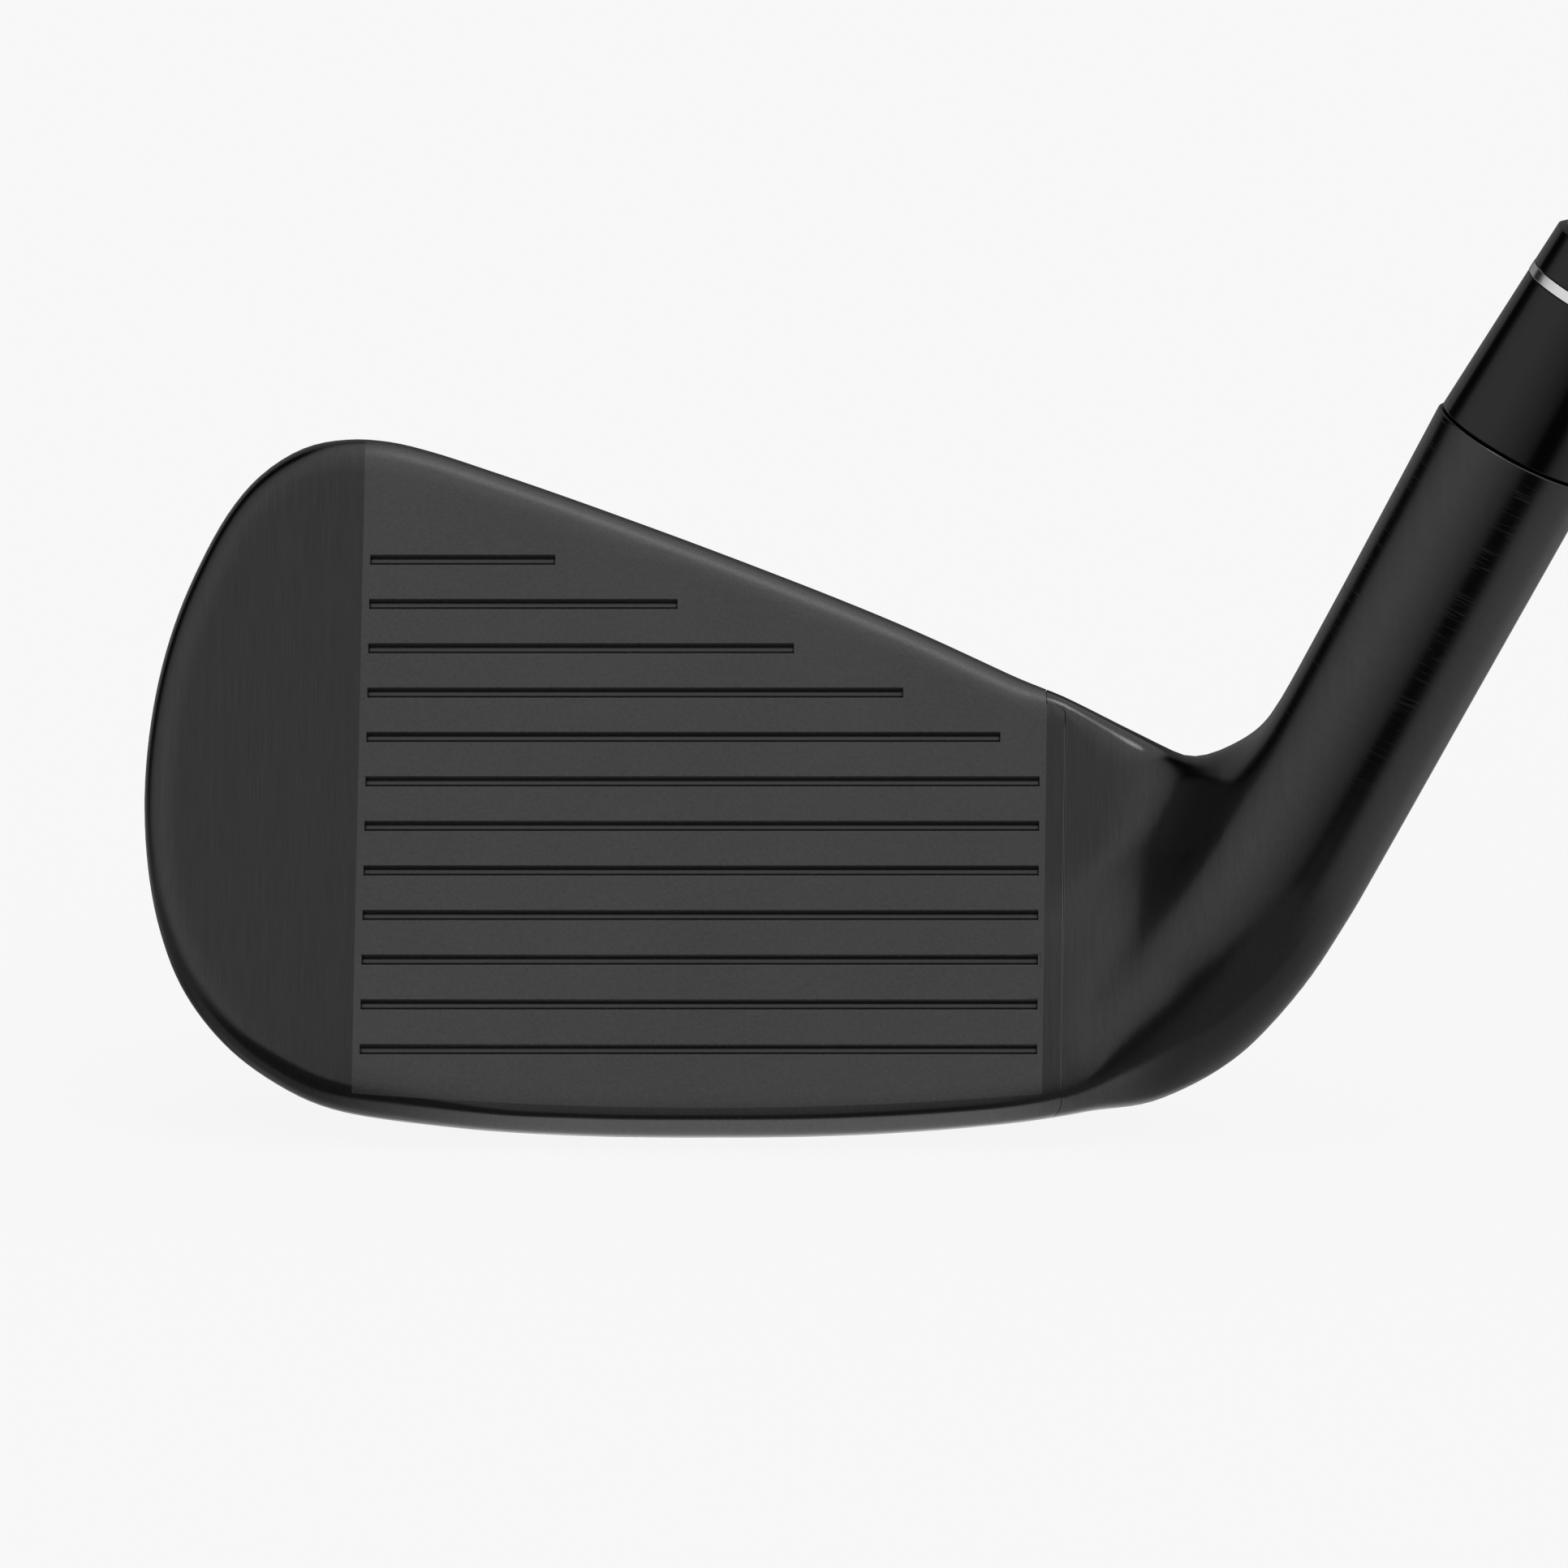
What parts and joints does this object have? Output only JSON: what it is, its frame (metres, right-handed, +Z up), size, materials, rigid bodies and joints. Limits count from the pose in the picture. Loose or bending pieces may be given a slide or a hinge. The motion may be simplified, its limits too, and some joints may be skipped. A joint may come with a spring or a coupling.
{
  "type": "golf iron",
  "caption": "Right-handed golf iron: black grooved blade head with a bonded neck and ferrule, stepped steel shaft and rubber grip.",
  "frame": {"origin": "the sole's contact point on the ground, under the middle of the striking face", "axes": "+Z up; -X to the toe and +X to the heel, with the shaft leaning to +X; the striking face looks to -Y"},
  "size_m": [0.5236, 0.0404, 0.839],
  "materials": {
    "body_steel": "black, brushed satin over cast steel",
    "face_steel": "black, fine blasted between brushed ends",
    "foam": "matte foam",
    "tungsten": "sintered, dull",
    "screw_steel": "black oxide",
    "seal_rubber": "matte",
    "badge_metal": "dark anodised, finely brushed",
    "badge_pad": "matte foam tape",
    "epoxy": "cured epoxy",
    "pin_brass": "turned",
    "ferrule_plastic": "polished black",
    "ring_metal": "polished",
    "shaft_steel": "black plated, satin gloss",
    "grip_tape": "paper tape",
    "grip_rubber": "matte textured rubber",
    "cap_rubber": "matte rubber"
  },
  "bodies": {
    "root": {"head_body": "body_steel", "face_plate": "face_steel", "foam_core": "foam", "toe_weight": "tungsten", "port_screw": "screw_steel", "port_seal": "seal_rubber", "back_badge": "badge_metal", "badge_adhesive": "badge_pad", "hosel_adhesive": "epoxy", "tip_weight_pin": "pin_brass", "ferrule_lower": "ferrule_plastic", "ferrule_ring": "ring_metal", "ferrule_upper": "ferrule_plastic", "shaft": "shaft_steel", "grip_tape": "grip_tape", "grip_sleeve": "grip_rubber", "grip_cap": "cap_rubber"}
  },
  "joints": []
}
